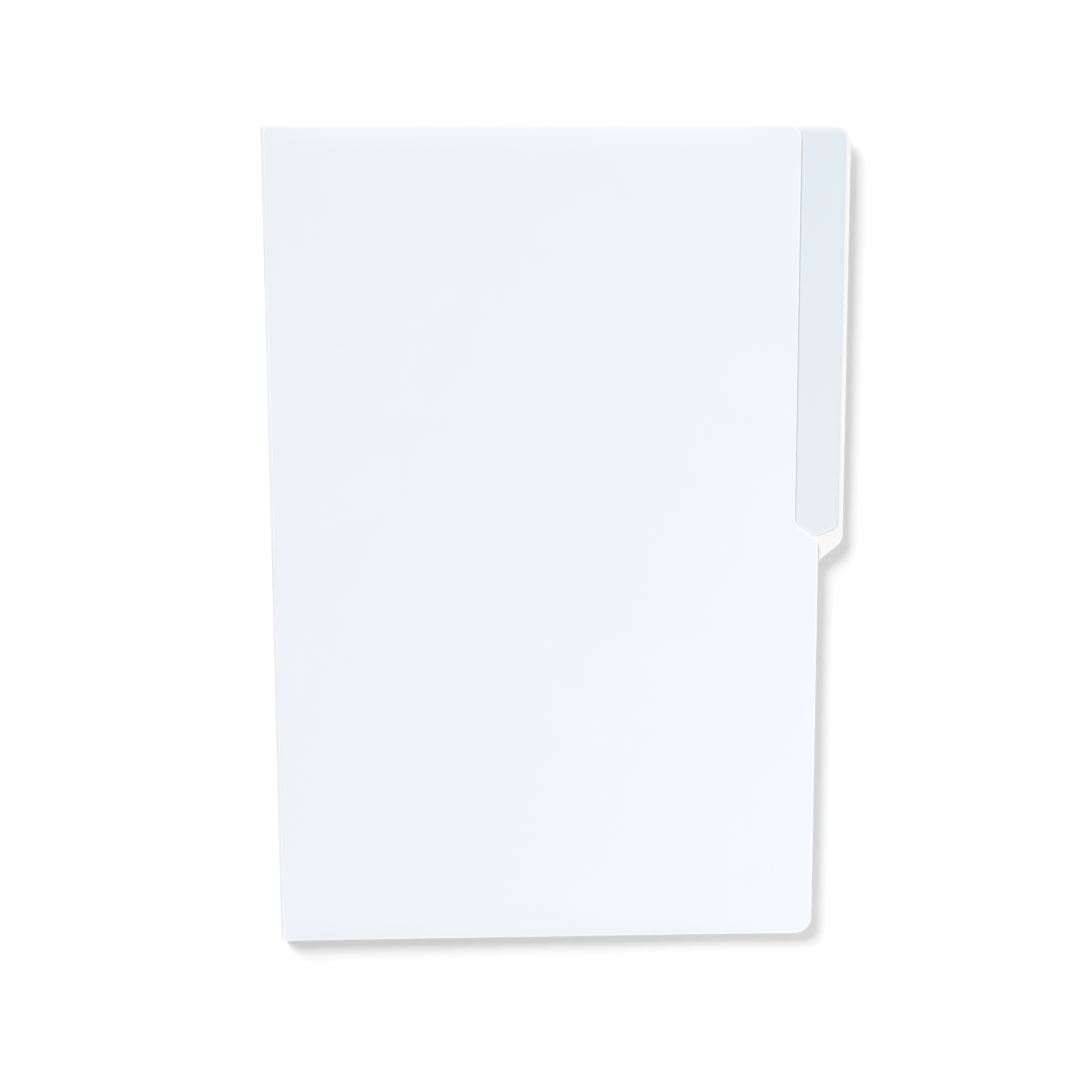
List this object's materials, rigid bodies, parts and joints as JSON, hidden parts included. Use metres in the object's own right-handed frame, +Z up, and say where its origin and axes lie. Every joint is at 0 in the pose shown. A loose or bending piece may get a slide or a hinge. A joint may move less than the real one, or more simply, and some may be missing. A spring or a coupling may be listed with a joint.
{
  "type": "file folder",
  "caption": "Closed plastic file folder: back cover with a half-cut filing tab, creased spine that opens flat, and a front cover cut back beside the tab.",
  "frame": {"origin": "middle of the closed folder's box, on the surface that the back cover lies on", "axes": "+X from the spine to the tab, +Y towards the end with the tab, +Z up out of the front cover"},
  "size_m": [0.2488, 0.356, 0.006],
  "materials": {
    "cover_sheet": "satin white polypropylene with a faint cool tint",
    "spine_sheet": "satin white polypropylene, creased",
    "label_film": "matt write-on film"
  },
  "bodies": {
    "back": {"back_cover": "cover_sheet", "tab_label": "label_film"},
    "rear_strip": {"rear_spine_strip": "spine_sheet"},
    "middle_strip": {"middle_spine_strip": "spine_sheet"},
    "front_strip": {"front_spine_strip": "spine_sheet"},
    "front": {"front_cover": "cover_sheet"}
  },
  "joints": [
    {"name": "rear_crease", "type": "hinge", "parent": "back", "child": "rear_strip", "pos_m": [-0.12267, 0, 0], "axis": [0, -1, 0], "range_deg": [0, 45]},
    {"name": "lower_spine_crease", "type": "hinge", "parent": "rear_strip", "child": "middle_strip", "pos_m": [-0.12443, 0, 0.00176], "axis": [0, -1, 0], "range_deg": [0, 45]},
    {"name": "upper_spine_crease", "type": "hinge", "parent": "middle_strip", "child": "front_strip", "pos_m": [-0.12443, 0, 0.00424], "axis": [0, -1, 0], "range_deg": [0, 45]},
    {"name": "front_crease", "type": "hinge", "parent": "front_strip", "child": "front", "pos_m": [-0.12267, 0, 0.006], "axis": [0, -1, 0], "range_deg": [0, 45]}
  ]
}
